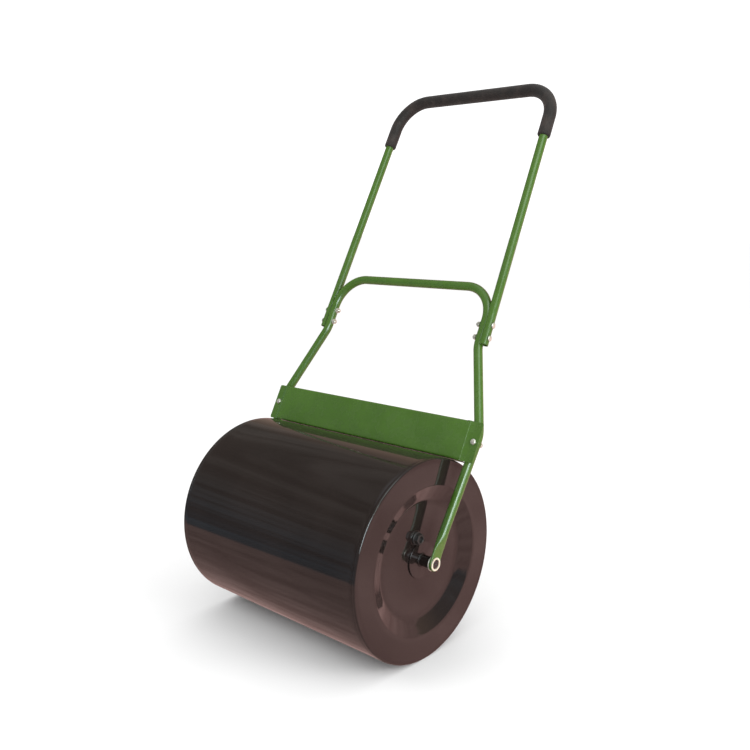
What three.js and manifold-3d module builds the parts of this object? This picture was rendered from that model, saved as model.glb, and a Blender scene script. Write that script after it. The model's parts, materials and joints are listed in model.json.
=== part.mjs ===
// A walk-behind, water-filled lawn roller: a steel drum turning between the ends of a tubular frame,
// with a scraper panel across the front and a push handle bolted to the frame.
//
// Millimetres, +Z up, X along the axle (+X is the end with the filler plug), -Y towards the front.
// The origin is on the ground, under the middle of the axle.

import * as THREE from "three";
import { mergeVertices } from "three/addons/utils/BufferGeometryUtils.js";
import Module from "manifold-3d";

const manifold = await Module();
manifold.setup();

// ---------- driving dimensions ----------

const GAP = 0.3; // left between pieces that touch
const ROUND_GAP = 0.4; // between the flats of a turned piece and its bore
const SIDES = [
  { side: "right", sign: 1 },
  { side: "left", sign: -1 },
];

// Drum. Radii of turned pieces are those of their flats.
const DRUM_RADIUS = 202;
const DRUM_HALF_WIDTH = 254;
const DRUM_SEGMENTS = 48;
const SHEET = 1.8;
const SHELL_HALF_WIDTH = 247;
const RIM_ROUNDING = 6;
const SKIRT_LENGTH = 15; // of the end plate inside the shell
const STEP_RADIUS = 149; // where the flat rim of the plate ends
const STEP_DEPTH = 2.5;
const STEP_TAPER = 5;
const DISH_RADIUS = 118; // of the plate's flat middle
const DISH_DEPTH = 15;

// Axle, hub bosses, and the bearings in the frame's eyes.
const ROUND_SEGMENTS = 24;
const AXLE_RADIUS = 9;
const AXLE_HALF_LENGTH = 276;
const AXLE_BORE = AXLE_RADIUS + ROUND_GAP;
const HUB_FLANGE_RADIUS = 37;
const HUB_FLANGE_THICKNESS = 2.6;
const BOSS_RADIUS = 11.25;
const BOSS_FILLET = 3;
const THRUST_WASHER_RADIUS = 15;
const THRUST_WASHER_THICKNESS = 2;
const BUSH_BARREL_RADIUS = 10.5;
const BUSH_FLANGE_RADIUS = 13.1;
const BUSH_FLANGE_THICKNESS = 2.2;

// Filler, on the right end plate.
const FILLER_Y = -18;
const FILLER_Z = 49; // above the axle
const NECK_FLANGE_RADIUS = 14;
const NECK_FLANGE_THICKNESS = 2.7;
const NECK_BARREL_RADIUS = 11;
const NECK_BORE = 8.5;
const NECK_LENGTH = 11; // inside the drum
const SEAL_RADIUS = 12.5;
const SEAL_THICKNESS = 1.2;
const PLUG_BARREL_RADIUS = NECK_BORE - ROUND_GAP;
const PLUG_FLANGE_RADIUS = 13;
const PLUG_FLANGE_THICKNESS = 2.5;
const PLUG_HEX_ACROSS_FLATS = 19;
const PLUG_HEX_HEIGHT = 8;

// Frame plane: it leans back from the axle. Places in it are [x, distance up from the axle].
const LEAN = THREE.MathUtils.degToRad(27.2);
const TUBE_RADIUS = 9.5;
const TUBE_WALL = 1.5;
const TUBE_SIDES = 16;
const TUBE_BORE_SIDES = 8;

// Lower frame: a leg each side, an S-bend into the narrower upright, and the crossbar.
const EYE_X = 272.5;
const EYE_HALF_THICKNESS = 2.5;
const EYE_HALF_WIDTH = 14;
const EYE_HOLE_RADIUS = BUSH_BARREL_RADIUS + ROUND_GAP;
const EYE_FLAT_END = 22; // the tube is round again at EYE_ROUND_START
const EYE_ROUND_START = 60;
const LEG_KNEE = [285.6, 261];
const LEG_SHOULDER = [218.4, 444];
const LEG_BEND_RADIUS = 68;
const CROSSBAR_HEIGHT = 572.7;
const CROSSBAR_BEND_RADIUS = 71.5;

// Push handle: outside the uprights, and crushed where it lies against them.
const HANDLE_FOOT_HEIGHT = 447;
const HANDLE_FOOT_X = 231.2;
const HANDLE_TOP_X = 216.8;
const HANDLE_TOP_HEIGHT = 1049;
const HANDLE_BEND_RADIUS = 75;
const CRUSH_END_HEIGHT = 545;
const CRUSH_STEP = 14;
const CRUSH_CLEARANCE = 0.7; // covers the facets of both tubes and the gap between them

// Foam grip.
const GRIP_RADIUS = 14.3;
const GRIP_BORE = TUBE_RADIUS + GAP;
const GRIP_END_HEIGHT = 928;
const GRIP_END_ROUNDING = 4;

// Scraper panel. "Forward" is square to the frame plane, towards the front.
const PANEL_BOTTOM = 203.5;
const PANEL_TOP = 285;
const PANEL_HALF_LENGTH = 296;
const PANEL_SHEET = 1.6;
const PANEL_FACE_FORWARD = 16;
const EAR_START = 279;
const JOGGLE_START = 267;
const TOP_LIP_BACK_FORWARD = 5;
const BOTTOM_LIP_BACK_FORWARD = -8;
const LIP_BOTTOM_HALF_LENGTH = 266;
const LIP_TOP_HALF_LENGTH = 260;

// M6 fasteners.
const BOLT_RADIUS = 3;
const BOLT_HOLE_RADIUS = 3.35;
const BOLT_HEAD_RADIUS = 6;
const BOLT_HEAD_HEIGHT = 3.6;
const BOLT_SEGMENTS = 12;
const BOLT_POINT = 0.8;
const WASHER_RADIUS = 6.2;
const WASHER_THICKNESS = 1.2;
const NUT_ACROSS_FLATS = 10;
const NUT_HEIGHT = 4.8;
const HANDLE_BOLT_LENGTH = 41;
const PANEL_BOLT_LENGTH = 30;
const HANDLE_BOLT_HEIGHTS = [
  { level: "upper", height: 490 },
  { level: "lower", height: 462 },
];
const PANEL_BOLT_HEIGHT = 245;

// ---------- solids ----------

// Drops normals and flat triangles, merges shared corners and turns the faces outwards.
function closed(geometry) {
  const bare = geometry.clone();
  bare.deleteAttribute("normal");
  bare.deleteAttribute("uv");
  const merged = mergeVertices(bare, 1e-4);
  const at = (i) => new THREE.Vector3().fromBufferAttribute(merged.attributes.position, i);
  const triangles = [];
  let volume = 0;
  for (let i = 0; i < merged.index.count; i += 3) {
    const [a, b, c] = merged.index.array.slice(i, i + 3);
    if (a === b || b === c || c === a) continue;
    triangles.push([a, b, c]);
    volume += at(a).dot(at(b).cross(at(c))) / 6;
  }
  const outwards = volume < 0 ? triangles.map(([a, b, c]) => [a, c, b]) : triangles;
  return merged.setIndex(outwards.flat());
}

function solidOf(geometry) {
  const mesh = closed(geometry);
  return new manifold.Manifold(
    new manifold.Mesh({
      numProp: 3,
      vertProperties: mesh.attributes.position.array,
      triVerts: new Uint32Array(mesh.index.array),
    }),
  );
}

function geometryOf(solid) {
  const mesh = solid.getMesh();
  const geometry = new THREE.BufferGeometry();
  geometry.setAttribute("position", new THREE.BufferAttribute(mesh.vertProperties, 3));
  geometry.setIndex(new THREE.BufferAttribute(mesh.triVerts, 1));
  return geometry;
}

function cut(geometry, ...tools) {
  const start = solidOf(geometry);
  return geometryOf(tools.reduce((left, tool) => left.subtract(solidOf(tool)), start));
}

function joined(geometry, ...others) {
  const start = solidOf(geometry);
  return geometryOf(others.reduce((sum, other) => sum.add(solidOf(other)), start));
}

// A solid of revolution about the X axis, from [x, radius] corners in order round its section.
function turned(section, segments) {
  const toCorner = 1 / Math.cos(Math.PI / segments);
  const points = section.map(([x, radius]) => new THREE.Vector2(radius * toCorner, x));
  points.push(points[0].clone());
  const lathe = new THREE.LatheGeometry(points, segments, Math.PI / segments);
  return closed(lathe.rotateZ(-Math.PI / 2));
}

// A plain round bar along X.
function bar(start, end, radius, segments) {
  return turned([[start, 0], [start, radius], [end, radius], [end, 0]], segments);
}

// A closed solid through rings of points, each with as many points as the next.
function lofted(rings) {
  const count = rings[0].length;
  const points = rings.flat();
  const index = [];
  for (let ring = 0; ring + 1 < rings.length; ring++) {
    for (let i = 0; i < count; i++) {
      const a = ring * count + i;
      const b = ring * count + ((i + 1) % count);
      index.push(a, b, b + count, a, b + count, a + count);
    }
  }
  for (const [ring, first] of [[rings[0], 0], [rings.at(-1), points.length - count]]) {
    const middle = ring.reduce((sum, p) => sum.add(p), new THREE.Vector3()).divideScalar(count);
    const centre = points.push(middle) - 1;
    for (let i = 0; i < count; i++) {
      const a = first + i;
      const b = first + ((i + 1) % count);
      index.push(...(first === 0 ? [centre, b, a] : [centre, a, b]));
    }
  }
  const geometry = new THREE.BufferGeometry().setFromPoints(points);
  return closed(geometry.setIndex(index));
}

// ---------- bent tubes in the frame plane ----------

// Stations along a polyline whose corners [x, height, bend radius] are rounded into arcs.
// A corner with no bend radius is one station.
function bentPath(corners, arcStep = THREE.MathUtils.degToRad(11.25)) {
  const at = corners.map(([x, height]) => new THREE.Vector2(x, height));
  const directions = at.slice(1).map((point, i) => point.clone().sub(at[i]).normalize());
  return corners.flatMap(([, , bendRadius = 0], i) => {
    const before = directions[Math.max(i - 1, 0)];
    const after = directions[Math.min(i, directions.length - 1)];
    const turn = Math.atan2(before.cross(after), before.dot(after));
    if (!bendRadius) return [{ point: at[i], along: before.clone().add(after).normalize() }];
    const side = Math.sign(turn);
    const toCentre = new THREE.Vector2(-before.y, before.x).multiplyScalar(side * bendRadius);
    const back = before.clone().multiplyScalar(bendRadius * Math.tan(Math.abs(turn) / 2));
    const centre = at[i].clone().sub(back).add(toCentre);
    const steps = Math.ceil(Math.abs(turn) / arcStep);
    return Array.from({ length: steps + 1 }, (_, step) => {
      const angle = (turn * step) / steps;
      const point = centre.clone().sub(toCentre).rotateAround(centre, angle);
      return { point, along: before.clone().rotateAround(new THREE.Vector2(), angle) };
    });
  });
}

// The right half of a path, joined to its mirror image.
function mirroredPath(half) {
  const left = half.map(({ point, along }) => ({
    point: new THREE.Vector2(-point.x, point.y),
    along: new THREE.Vector2(along.x, -along.y),
  }));
  return [...half, ...left.reverse()];
}

// A ring of points about a station, from an outline of [outward, forward] pairs.
function ringAt({ point, along }, outline) {
  return outline.map(
    ([outward, forward]) =>
      new THREE.Vector3(point.x + along.y * outward, -forward, point.y - along.x * outward),
  );
}

// An outline that goes from a circle (squareness 2) towards a rectangle as squareness grows.
function outlineOf(halfThickness, halfWidth, sides, squareness = 2) {
  return Array.from({ length: sides }, (_, i) => {
    const angle = (2 * Math.PI * i) / sides;
    const bulge = (value) => Math.sign(value) * Math.abs(value) ** (2 / squareness);
    return [halfThickness * bulge(Math.cos(angle)), halfWidth * bulge(Math.sin(angle))];
  });
}

// The point of a path's line that is nearest to a place in the frame plane.
function nearestOnPath(place, path) {
  let nearest = path[0].point;
  for (let i = 1; i < path.length; i++) {
    const start = path[i - 1].point;
    const step = path[i].point.clone().sub(start);
    const share = THREE.MathUtils.clamp(place.clone().sub(start).dot(step) / step.lengthSq(), 0, 1);
    const candidate = start.clone().addScaledVector(step, share);
    if (candidate.distanceTo(place) < nearest.distanceTo(place)) nearest = candidate;
  }
  return nearest;
}

// Moves a ring's points away from a path, within the frame plane, until they are keep from its line.
function crushedAgainst(ring, path, keep) {
  return ring.map((point) => {
    const place = new THREE.Vector2(point.x, point.z);
    const nearest = nearestOnPath(place, path);
    const reach = place.clone().sub(nearest);
    const needed = Math.sqrt(Math.max(keep ** 2 - point.y ** 2, 0));
    if (reach.length() >= needed) return point;
    const moved = nearest.clone().addScaledVector(reach.normalize(), needed);
    return new THREE.Vector3(moved.x, point.y, moved.y);
  });
}

// How far the leg's tube is flattened at a height: 1 at the eye, 0 where it is round.
function flattening(height) {
  return 1 - THREE.MathUtils.smoothstep(height, EYE_FLAT_END, EYE_ROUND_START);
}

function legOutline(height, wall, sides) {
  const flat = flattening(height);
  const { lerp } = THREE.MathUtils;
  const rounding = height < 0 ? Math.sqrt(1 - (height / (EYE_HALF_WIDTH + GAP)) ** 2) : 1;
  const halfThickness = lerp(TUBE_RADIUS, EYE_HALF_THICKNESS, flat) - wall;
  const halfWidth = lerp(TUBE_RADIUS, EYE_HALF_WIDTH, flat) * rounding - wall;
  return outlineOf(halfThickness, halfWidth, sides, lerp(2, 6, flat));
}

function legPath(bottom, ...extraHeights) {
  const straight = [bottom, ...extraHeights].map((height) => [EYE_X, height]);
  const bends = [
    [...LEG_KNEE, LEG_BEND_RADIUS],
    [...LEG_SHOULDER, LEG_BEND_RADIUS],
    [LEG_SHOULDER[0], CROSSBAR_HEIGHT, CROSSBAR_BEND_RADIUS],
    [0, CROSSBAR_HEIGHT],
  ];
  return mirroredPath(bentPath([...straight, ...bends]).slice(0, -1));
}

const FRAME_PATH = legPath(-EYE_HALF_WIDTH, -12, -8, 0, EYE_FLAT_END, 32, 41, 50, EYE_ROUND_START);
const LEG_BORE_PATH = legPath(EYE_FLAT_END, 32, 41, 50, EYE_ROUND_START);

function handleX(height) {
  const share = (height - HANDLE_FOOT_HEIGHT) / (HANDLE_TOP_HEIGHT - HANDLE_FOOT_HEIGHT);
  return THREE.MathUtils.lerp(HANDLE_FOOT_X, HANDLE_TOP_X, share);
}

function handlePath(...heights) {
  const upright = heights.map((height) => [handleX(height), height]);
  const bend = [HANDLE_TOP_X, HANDLE_TOP_HEIGHT, HANDLE_BEND_RADIUS];
  const half = bentPath([...upright, bend, [0, HANDLE_TOP_HEIGHT]]);
  return mirroredPath(half.slice(0, -1));
}

function crushedHandle(path, radius, sides, keep) {
  const outline = outlineOf(radius, radius, sides);
  return lofted(path.map((station) => crushedAgainst(ringAt(station, outline), FRAME_PATH, keep)));
}

// ---------- drum ----------

function drumShell() {
  const inside = DRUM_RADIUS - SHEET;
  const section = [
    [-SHELL_HALF_WIDTH, inside],
    [-SHELL_HALF_WIDTH, DRUM_RADIUS],
    [SHELL_HALF_WIDTH, DRUM_RADIUS],
    [SHELL_HALF_WIDTH, inside],
  ];
  return turned(section, DRUM_SEGMENTS);
}

// A dished plate: flat middle, cone, step up to a flat rim, rounded shoulder, skirt inside the shell.
function endPlate() {
  const face = DRUM_HALF_WIDTH;
  const dish = face - DISH_DEPTH;
  const coneTop = face - STEP_DEPTH;
  const shoulder = SHELL_HALF_WIDTH + GAP;
  const skirt = DRUM_RADIUS - SHEET - GAP;
  const skirtEnd = SHELL_HALF_WIDTH - SKIRT_LENGTH;
  const rounding = [90, 60, 30, 0].map((degrees) => {
    const angle = THREE.MathUtils.degToRad(degrees);
    const x = face - RIM_ROUNDING * (1 - Math.sin(angle));
    return [x, DRUM_RADIUS - RIM_ROUNDING * (1 - Math.cos(angle))];
  });
  const section = [
    [dish - SHEET, AXLE_BORE],
    [dish, AXLE_BORE],
    [dish, DISH_RADIUS],
    [coneTop, STEP_RADIUS - STEP_TAPER],
    [face, STEP_RADIUS],
    ...rounding,
    [shoulder, DRUM_RADIUS],
    [shoulder, skirt],
    [skirtEnd, skirt],
    [skirtEnd, skirt - SHEET],
    [face - SHEET - RIM_ROUNDING / 3, skirt - SHEET],
    [face - SHEET, skirt - SHEET - RIM_ROUNDING / 3],
    [face - SHEET, STEP_RADIUS + SHEET / 2],
    [coneTop - SHEET, STEP_RADIUS - STEP_TAPER + SHEET / 2],
    [dish - SHEET, DISH_RADIUS],
  ];
  return turned(section, DRUM_SEGMENTS);
}

function fillerEndPlate() {
  const hole = bar(0, DRUM_HALF_WIDTH, NECK_BARREL_RADIUS + ROUND_GAP, ROUND_SEGMENTS);
  return cut(endPlate(), hole.translate(0, FILLER_Y, FILLER_Z));
}

// A flange on the plate, a weld fillet and a long collar round the axle.
function hubBoss() {
  const back = DRUM_HALF_WIDTH - DISH_DEPTH + GAP;
  const front = back + HUB_FLANGE_THICKNESS;
  const end = EYE_X - EYE_HALF_THICKNESS - THRUST_WASHER_THICKNESS - 2 * GAP;
  const section = [
    [back, AXLE_BORE],
    [back, HUB_FLANGE_RADIUS],
    [front, HUB_FLANGE_RADIUS],
    [front, BOSS_RADIUS + BOSS_FILLET],
    [front + BOSS_FILLET, BOSS_RADIUS],
    [end, BOSS_RADIUS],
    [end, AXLE_BORE],
  ];
  return turned(section, ROUND_SEGMENTS);
}

function axleRod() {
  return bar(-AXLE_HALF_LENGTH, AXLE_HALF_LENGTH, AXLE_RADIUS, ROUND_SEGMENTS);
}

// ---------- filler, along X with x = 0 on the end plate's flat middle ----------

function fillerNeck() {
  const section = [
    [-NECK_LENGTH, NECK_BORE],
    [-NECK_LENGTH, NECK_BARREL_RADIUS],
    [GAP, NECK_BARREL_RADIUS],
    [GAP, NECK_FLANGE_RADIUS],
    [GAP + NECK_FLANGE_THICKNESS, NECK_FLANGE_RADIUS],
    [GAP + NECK_FLANGE_THICKNESS, NECK_BORE],
  ];
  return turned(section, ROUND_SEGMENTS);
}

const SEAL_START = NECK_FLANGE_THICKNESS + 2 * GAP;
const PLUG_SEAT = SEAL_START + SEAL_THICKNESS + GAP;

function fillerSeal() {
  const bore = PLUG_BARREL_RADIUS + ROUND_GAP;
  const section = [
    [SEAL_START, bore],
    [SEAL_START, SEAL_RADIUS],
    [SEAL_START + SEAL_THICKNESS, SEAL_RADIUS],
    [SEAL_START + SEAL_THICKNESS, bore],
  ];
  return turned(section, ROUND_SEGMENTS);
}

function fillerPlug() {
  const flangeTop = PLUG_SEAT + PLUG_FLANGE_THICKNESS;
  const body = turned(
    [
      [1 - NECK_LENGTH, 0],
      [1 - NECK_LENGTH, PLUG_BARREL_RADIUS],
      [PLUG_SEAT, PLUG_BARREL_RADIUS],
      [PLUG_SEAT, PLUG_FLANGE_RADIUS],
      [flangeTop, PLUG_FLANGE_RADIUS],
      [flangeTop, 0],
    ],
    ROUND_SEGMENTS,
  );
  const hexagon = bar(flangeTop - GAP, flangeTop + PLUG_HEX_HEIGHT, PLUG_HEX_ACROSS_FLATS / 2, 6);
  return joined(body, hexagon);
}

// ---------- frame, upright with the axle at the origin ----------

// A drill for bolt holes, along X through the given place.
function boltDrill(start, end, height) {
  return bar(start, end, BOLT_HOLE_RADIUS, BOLT_SEGMENTS).translate(0, 0, height);
}

// A drill for the panel's bolt holes, from front to back.
function panelDrill(sign) {
  const reach = PANEL_FACE_FORWARD + TUBE_RADIUS;
  const drill = bar(-reach, reach, BOLT_HOLE_RADIUS, BOLT_SEGMENTS).rotateZ(Math.PI / 2);
  return drill.translate(sign * panelBoltX(), 0, PANEL_BOLT_HEIGHT);
}

// The panel's bolts go through the middle of the leg.
function panelBoltX() {
  const height = PANEL_BOLT_HEIGHT;
  return nearestOnPath(new THREE.Vector2(PANEL_HALF_LENGTH, height), FRAME_PATH).x;
}

function handleDrills() {
  const reach = HANDLE_FOOT_X + 2 * TUBE_RADIUS;
  return HANDLE_BOLT_HEIGHTS.map(({ height }) => boltDrill(-reach, reach, height));
}

function lowerFrame() {
  const rings = FRAME_PATH.map((station) =>
    ringAt(station, legOutline(station.point.y, 0, TUBE_SIDES)),
  );
  const bore = LEG_BORE_PATH.map((station) =>
    ringAt(station, legOutline(station.point.y, TUBE_WALL, TUBE_BORE_SIDES)),
  );
  const reach = EYE_X + TUBE_RADIUS;
  const eyes = bar(-reach, reach, EYE_HOLE_RADIUS, ROUND_SEGMENTS);
  const drills = [...handleDrills(), ...SIDES.map(({ sign }) => panelDrill(sign))];
  return cut(lofted(rings), lofted(bore), eyes, ...drills);
}

function pushHandle() {
  const steps = Math.round((CRUSH_END_HEIGHT - HANDLE_FOOT_HEIGHT) / CRUSH_STEP);
  const crush = Array.from({ length: steps + 1 }, (_, i) => HANDLE_FOOT_HEIGHT + i * CRUSH_STEP);
  const keep = TUBE_RADIUS + CRUSH_CLEARANCE;
  const outside = crushedHandle(handlePath(...crush), TUBE_RADIUS, TUBE_SIDES, keep);
  const borePath = handlePath(HANDLE_FOOT_HEIGHT - 1, ...crush.slice(1));
  const boreRadius = TUBE_RADIUS - TUBE_WALL;
  const inside = crushedHandle(borePath, boreRadius, TUBE_BORE_SIDES, keep + TUBE_WALL);
  return cut(outside, inside, ...handleDrills());
}

function foamGrip() {
  const end = GRIP_END_HEIGHT;
  const rounding = [0, 30, 60, 90].map((degrees) => {
    const angle = THREE.MathUtils.degToRad(degrees);
    const height = end + GRIP_END_ROUNDING * (1 - Math.cos(angle));
    return { height, radius: GRIP_RADIUS - GRIP_END_ROUNDING * (1 - Math.sin(angle)) };
  });
  const path = handlePath(...rounding.map(({ height }) => height));
  const last = path.length - 1;
  const rings = path.map((station, i) => {
    const { radius } = rounding[Math.min(i, last - i, rounding.length - 1)];
    return ringAt(station, outlineOf(radius, radius, TUBE_SIDES));
  });
  const bore = handlePath(end - 1).map((station) =>
    ringAt(station, outlineOf(GRIP_BORE, GRIP_BORE, TUBE_SIDES)),
  );
  return cut(lofted(rings), lofted(bore));
}

function axleBush() {
  const outerFace = EYE_X + EYE_HALF_THICKNESS + GAP;
  const section = [
    [EYE_X - EYE_HALF_THICKNESS, AXLE_BORE],
    [EYE_X - EYE_HALF_THICKNESS, BUSH_BARREL_RADIUS],
    [outerFace, BUSH_BARREL_RADIUS],
    [outerFace, BUSH_FLANGE_RADIUS],
    [outerFace + BUSH_FLANGE_THICKNESS, BUSH_FLANGE_RADIUS],
    [outerFace + BUSH_FLANGE_THICKNESS, AXLE_BORE],
  ];
  return turned(section, ROUND_SEGMENTS);
}

function ring(start, thickness, bore, radius, segments) {
  const end = start + thickness;
  return turned([[start, bore], [start, radius], [end, radius], [end, bore]], segments);
}

function thrustWasher() {
  const start = EYE_X - EYE_HALF_THICKNESS - GAP - THRUST_WASHER_THICKNESS;
  return ring(start, THRUST_WASHER_THICKNESS, AXLE_BORE, THRUST_WASHER_RADIUS, ROUND_SEGMENTS);
}

// The panel's sheet seen from above: a long face forward of the tubes, stepping back to flat ears.
function panelSheet() {
  const earFront = TUBE_RADIUS + GAP + PANEL_SHEET;
  const right = [
    [JOGGLE_START, PANEL_FACE_FORWARD],
    [EAR_START, earFront],
    [PANEL_HALF_LENGTH, earFront],
    [PANEL_HALF_LENGTH, earFront - PANEL_SHEET],
    [EAR_START - 1, earFront - PANEL_SHEET],
    [JOGGLE_START - 1, PANEL_FACE_FORWARD - PANEL_SHEET],
  ];
  const left = right.map(([x, forward]) => [-x, forward]).reverse();
  const outline = [...right, ...left].map(([x, forward]) => new THREE.Vector2(x, -forward));
  const depth = PANEL_TOP - PANEL_BOTTOM;
  const sheet = new THREE.ExtrudeGeometry(new THREE.Shape(outline), { depth, bevelEnabled: false });
  return sheet.translate(0, 0, PANEL_BOTTOM);
}

function panelLip(halfLength, bottom, backForward) {
  const depth = PANEL_FACE_FORWARD - backForward - PANEL_SHEET / 2;
  const lip = new THREE.BoxGeometry(2 * halfLength, depth, PANEL_SHEET);
  return lip.translate(0, -backForward - depth / 2, bottom + PANEL_SHEET / 2);
}

function scraperPanel() {
  const bottomLip = panelLip(LIP_BOTTOM_HALF_LENGTH, PANEL_BOTTOM, BOTTOM_LIP_BACK_FORWARD);
  const topLip = panelLip(LIP_TOP_HALF_LENGTH, PANEL_TOP - PANEL_SHEET, TOP_LIP_BACK_FORWARD);
  const folded = joined(panelSheet(), bottomLip, topLip);
  return cut(folded, ...SIDES.map(({ sign }) => panelDrill(sign)));
}

// ---------- fasteners, along X: the surface they bear on is x = 0 and the head is at x > 0 ----------

function domeBolt(length) {
  const dome = [0, 30, 60].map((degrees) => {
    const angle = THREE.MathUtils.degToRad(degrees);
    const rise = BOLT_HEAD_HEIGHT - 1;
    return [1 + rise * Math.sin(angle), BOLT_HEAD_RADIUS * Math.cos(angle)];
  });
  const section = [
    [-length, 0],
    [-length, BOLT_RADIUS - BOLT_POINT],
    [BOLT_POINT - length, BOLT_RADIUS],
    [0, BOLT_RADIUS],
    [0, BOLT_HEAD_RADIUS],
    ...dome,
    [BOLT_HEAD_HEIGHT, 0],
  ];
  return turned(section, BOLT_SEGMENTS);
}

function washer() {
  return ring(0, WASHER_THICKNESS, BOLT_HOLE_RADIUS, WASHER_RADIUS, BOLT_SEGMENTS);
}

function nut() {
  const hexagon = bar(0, NUT_HEIGHT, NUT_ACROSS_FLATS / 2, 6);
  return cut(hexagon, bar(-1, NUT_HEIGHT + 1, BOLT_HOLE_RADIUS, BOLT_SEGMENTS));
}

// ---------- assembly ----------

const FINISHES = {
  drumEnamel: { color: 0x17120f, roughness: 0.2, metalness: 0.1 },
  greenEnamel: { color: 0x4d6c30, roughness: 0.35, metalness: 0.1 },
  darkSteel: { color: 0x1c1a19, roughness: 0.45, metalness: 0.6 },
  zinc: { color: 0xc9c8bf, roughness: 0.35, metalness: 0.9 },
  bushCream: { color: 0xd8d2bd, roughness: 0.5, metalness: 0 },
  foam: { color: 0x15100f, roughness: 0.9, metalness: 0 },
  rubber: { color: 0x141414, roughness: 0.8, metalness: 0 },
  plugPlastic: { color: 0x1a1817, roughness: 0.5, metalness: 0 },
};

function piece(parent, name, geometry, finish) {
  const mesh = new THREE.Mesh(geometry, new THREE.MeshStandardMaterial(FINISHES[finish]));
  mesh.name = name;
  parent.add(mesh);
  return mesh;
}

// Turns a piece made for the right side round to its own side.
function onSide(mesh, sign) {
  mesh.rotation.z = sign > 0 ? 0 : Math.PI;
  return mesh;
}

const roller = new THREE.Group();

const drum = new THREE.Group();
drum.position.z = DRUM_RADIUS;
roller.add(drum);
piece(drum, "drum_shell", drumShell(), "drumEnamel");
piece(drum, "axle_rod", axleRod(), "darkSteel");
for (const { side, sign } of SIDES) {
  const plate = sign > 0 ? fillerEndPlate() : endPlate();
  onSide(piece(drum, `end_plate_${side}`, plate, "drumEnamel"), sign);
  onSide(piece(drum, `hub_boss_${side}`, hubBoss(), "darkSteel"), sign);
}

const filler = new THREE.Group();
filler.position.set(DRUM_HALF_WIDTH - DISH_DEPTH, FILLER_Y, FILLER_Z);
drum.add(filler);
piece(filler, "filler_neck", fillerNeck(), "drumEnamel");
piece(filler, "filler_seal", fillerSeal(), "rubber");
piece(filler, "filler_plug", fillerPlug(), "plugPlastic");

const frame = new THREE.Group();
frame.position.z = DRUM_RADIUS;
frame.rotation.x = -LEAN;
roller.add(frame);
piece(frame, "lower_frame", lowerFrame(), "greenEnamel");
piece(frame, "push_handle", pushHandle(), "greenEnamel");
piece(frame, "foam_grip", foamGrip(), "foam");
piece(frame, "scraper_panel", scraperPanel(), "greenEnamel");

for (const { side, sign } of SIDES) {
  onSide(piece(frame, `axle_bush_${side}`, axleBush(), "bushCream"), sign);
  onSide(piece(frame, `thrust_washer_${side}`, thrustWasher(), "zinc"), sign);

  const panelFasteners = new THREE.Group();
  panelFasteners.position.set(sign * panelBoltX(), 0, PANEL_BOLT_HEIGHT);
  panelFasteners.rotation.z = -Math.PI / 2;
  frame.add(panelFasteners);
  const panelWasherSeat = -TUBE_RADIUS - GAP;
  const panelBolt = piece(panelFasteners, `panel_bolt_${side}`, domeBolt(PANEL_BOLT_LENGTH), "zinc");
  panelBolt.position.x = TUBE_RADIUS + 2 * GAP + PANEL_SHEET;
  const panelWasher = piece(panelFasteners, `panel_washer_${side}`, washer(), "zinc");
  panelWasher.position.x = panelWasherSeat - WASHER_THICKNESS;
  const panelNut = piece(panelFasteners, `panel_nut_${side}`, nut(), "zinc");
  panelNut.position.x = panelWasherSeat - WASHER_THICKNESS - GAP - NUT_HEIGHT;

  for (const { level, height } of HANDLE_BOLT_HEIGHTS) {
    const fasteners = new THREE.Group();
    fasteners.position.z = height;
    frame.add(onSide(fasteners, sign));
    const washerSeat = LEG_SHOULDER[0] - TUBE_RADIUS - GAP;
    const name = `${side}_${level}`;
    const bolt = piece(fasteners, `handle_bolt_${name}`, domeBolt(HANDLE_BOLT_LENGTH), "zinc");
    bolt.position.x = handleX(height) + TUBE_RADIUS + GAP;
    const washerMesh = piece(fasteners, `handle_washer_${name}`, washer(), "zinc");
    washerMesh.position.x = washerSeat - WASHER_THICKNESS;
    const nutMesh = piece(fasteners, `handle_nut_${name}`, nut(), "zinc");
    nutMesh.position.x = washerSeat - WASHER_THICKNESS - GAP - NUT_HEIGHT;
  }
}

export default roller;
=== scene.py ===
"""The looks of a walk-behind lawn roller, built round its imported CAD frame.

Metres, +Z up, X along the axle, -Y towards the front. Every fine piece stands for one CAD node, and takes
its body, its material slot and, where it can, its size from that node.
"""

import json
import math

import bmesh
import bpy
from mathutils import Matrix, Vector, noise


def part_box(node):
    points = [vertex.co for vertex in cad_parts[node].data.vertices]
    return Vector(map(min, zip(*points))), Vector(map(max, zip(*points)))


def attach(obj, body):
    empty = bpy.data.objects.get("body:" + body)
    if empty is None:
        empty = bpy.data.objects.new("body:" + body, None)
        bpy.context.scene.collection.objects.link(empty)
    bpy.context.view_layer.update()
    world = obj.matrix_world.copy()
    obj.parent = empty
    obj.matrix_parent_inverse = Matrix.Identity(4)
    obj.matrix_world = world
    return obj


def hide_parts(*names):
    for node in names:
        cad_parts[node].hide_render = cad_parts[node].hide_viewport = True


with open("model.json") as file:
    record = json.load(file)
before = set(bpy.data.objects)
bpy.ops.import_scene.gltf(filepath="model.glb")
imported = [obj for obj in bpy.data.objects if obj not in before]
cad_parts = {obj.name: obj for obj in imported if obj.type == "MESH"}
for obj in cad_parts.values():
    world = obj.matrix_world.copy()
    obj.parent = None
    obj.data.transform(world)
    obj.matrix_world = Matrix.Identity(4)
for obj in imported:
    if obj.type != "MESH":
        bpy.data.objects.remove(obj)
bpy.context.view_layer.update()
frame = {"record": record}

BEHAVIOUR = frame["record"]["behaviour"]
BODY_OF = {node: body for body, nodes in BEHAVIOUR["bodies"].items() for node in nodes}
SLOT_OF = {row["node"]: row["material_slot"] for row in frame["record"]["subparts"]}
SIDES = (("right", 1), ("left", -1))

# ---- sizes read from the frame

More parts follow.
